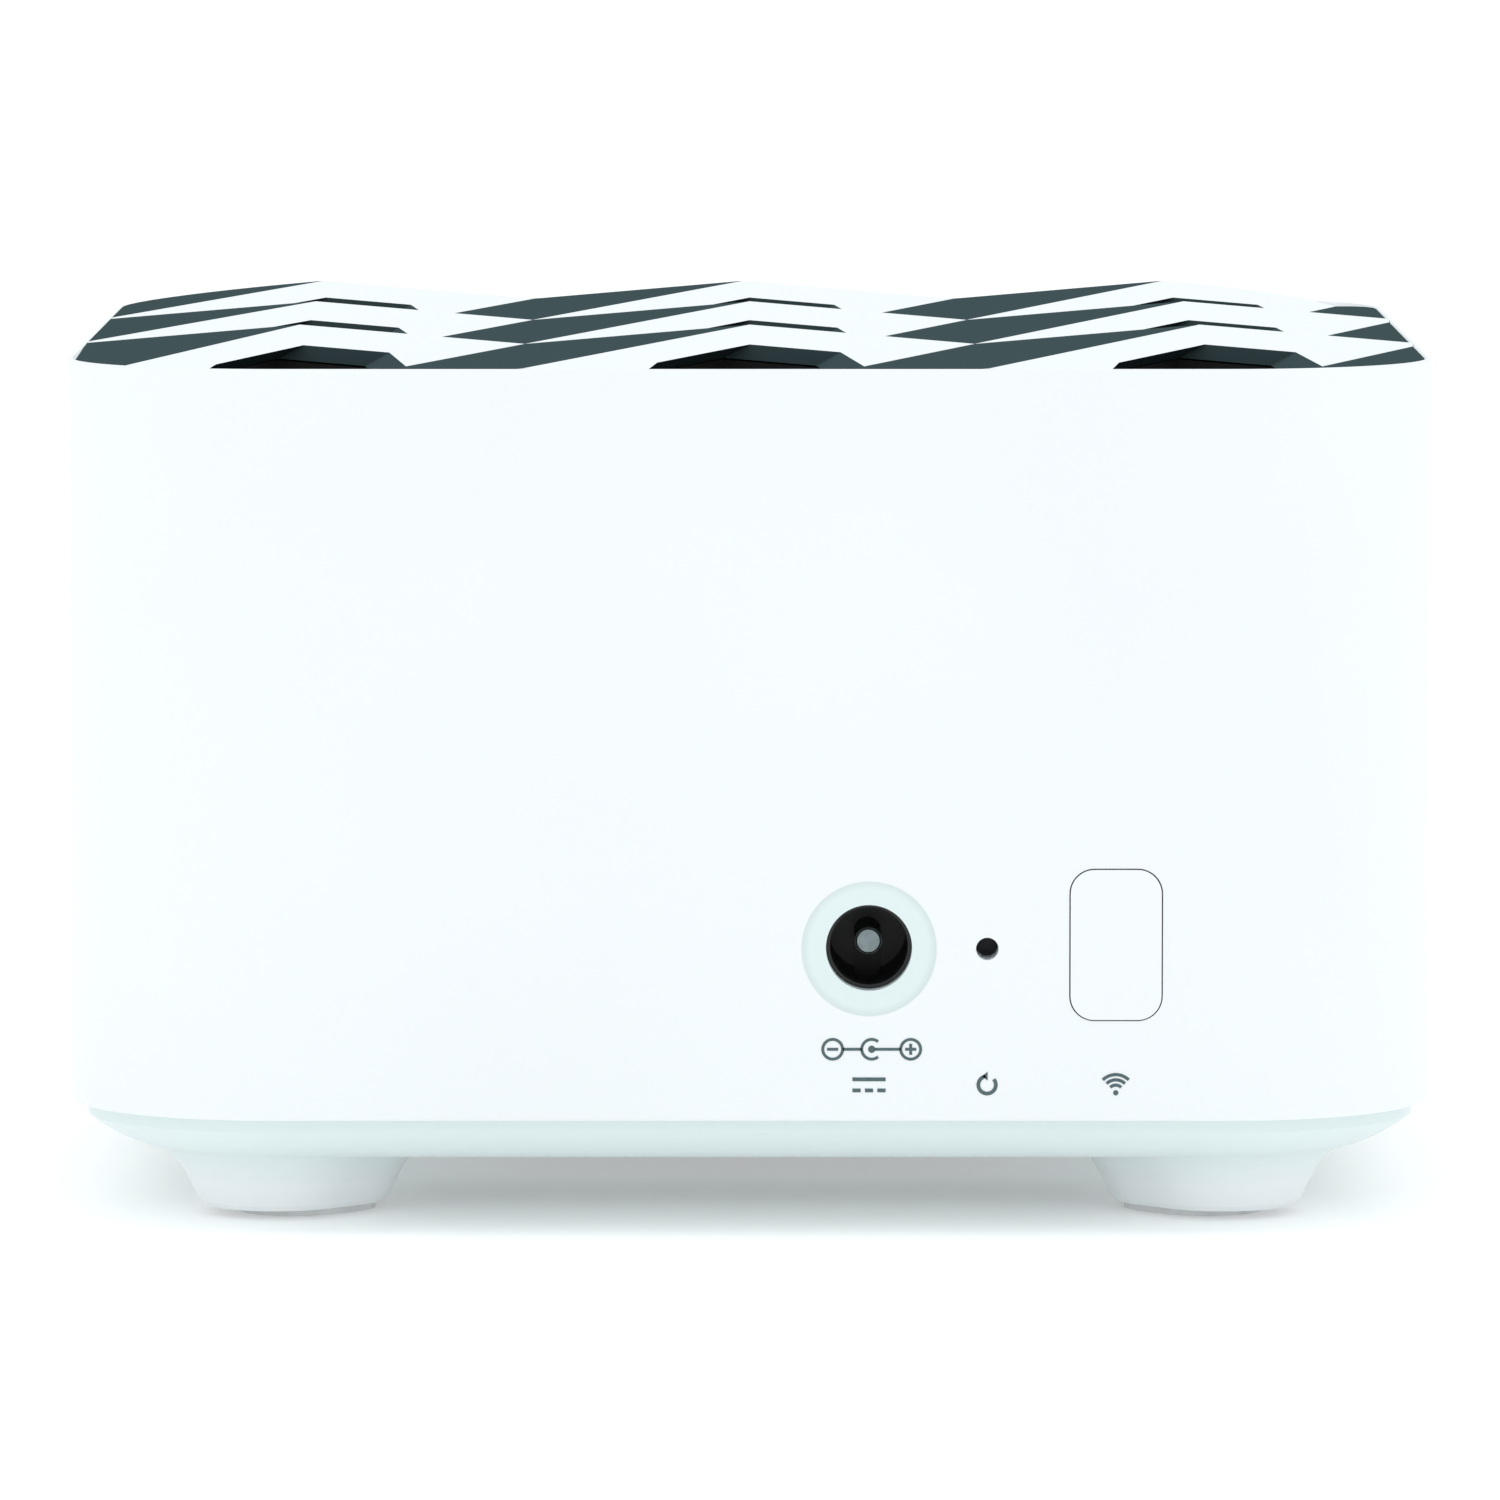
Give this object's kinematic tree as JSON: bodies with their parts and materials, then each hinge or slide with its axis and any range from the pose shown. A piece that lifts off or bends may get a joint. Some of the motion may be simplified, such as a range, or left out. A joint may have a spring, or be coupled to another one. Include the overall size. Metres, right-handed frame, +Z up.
{
  "type": "wireless router",
  "caption": "Square white mesh wireless router with a faceted vented cap, flared feet, and a rear power inlet, reset pinhole and sync button.",
  "frame": {"origin": "on the ground under the middle of the body", "axes": "+Z up; the rear face with the controls looks along -Y; +X is to the right seen from the rear"},
  "size_m": [0.104, 0.1042, 0.0671],
  "materials": {
    "white_shell": "satin moulded plastic",
    "facet_cap": "satin moulded plastic, alternate facets cool grey",
    "black_frame": "fine-grained black plastic",
    "pad_rubber": "soft grey rubber",
    "screw_steel": "zinc-plated steel",
    "board": "solder-masked laminate",
    "jack_plastic": "glossy black plastic",
    "contact_metal": "nickel-plated contact",
    "switch_plastic": "black switch body",
    "plunger_plastic": "pale switch plunger",
    "sink_metal": "extruded aluminium",
    "thermal": "soft gap pad",
    "chip_epoxy": "moulded epoxy",
    "shield_metal": "tinned steel",
    "ferrite": "ferrite block",
    "capacitor_can": "sleeved aluminium can",
    "led_body": "cast resin",
    "clear_acrylic": "clear acrylic",
    "antenna_board": "dark laminate",
    "copper": "bare copper",
    "lead_jacket": "coaxial jacket",
    "gold_plate": "gold-plated connector",
    "label_film": "blank film label"
  },
  "bodies": {
    "casing": {"housing": "white_shell", "control_panel": "white_shell", "top_grille": "facet_cap", "vent_liner": "black_frame", "base_tray": "white_shell", "foot_pads": "pad_rubber", "base_screws": "screw_steel", "chassis": "black_frame", "cap_screws": "screw_steel", "main_board": "board", "board_screws": "screw_steel", "jack_body": "jack_plastic", "jack_pin": "contact_metal", "jack_contacts": "contact_metal", "sync_switch_body": "switch_plastic", "reset_switch_body": "switch_plastic", "heat_sink": "sink_metal", "heat_sink_pins": "switch_plastic", "thermal_pad": "thermal", "processor": "chip_epoxy", "memory_chips": "chip_epoxy", "flash_chip": "chip_epoxy", "radio_shield_right": "shield_metal", "radio_shield_left": "shield_metal", "inductor": "ferrite", "capacitors": "capacitor_can", "status_led": "led_body", "light_pipe": "clear_acrylic", "antenna_right": "antenna_board", "antenna_front": "antenna_board", "antenna_left": "antenna_board", "antenna_rear": "antenna_board", "antenna_foils": "copper", "antenna_leads": "lead_jacket", "coax_plugs": "gold_plate", "coax_sockets": "gold_plate", "rating_label": "label_film"},
    "sync_button": {"sync_button": "white_shell"},
    "sync_plunger": {"sync_switch_plunger": "plunger_plastic"},
    "reset_plunger": {"reset_switch_plunger": "plunger_plastic"}
  },
  "joints": [
    {"name": "sync_press", "type": "slide", "parent": "casing", "child": "sync_button", "axis": [0, 1, 0], "range_m": [0, 0.0005], "stiffness_N_per_m": 1200, "springref_m": -0.0002},
    {"name": "sync_plunger_press", "type": "slide", "parent": "casing", "child": "sync_plunger", "axis": [0, 1, 0], "range_m": [0, 0.0005]},
    {"name": "reset_press", "type": "slide", "parent": "casing", "child": "reset_plunger", "axis": [0, 1, 0], "range_m": [0, 0.00025], "stiffness_N_per_m": 2000, "springref_m": -0.0001}
  ],
  "couplings": [
    {"joint": "sync_plunger_press", "follows": "sync_press", "ratio": 1}
  ]
}
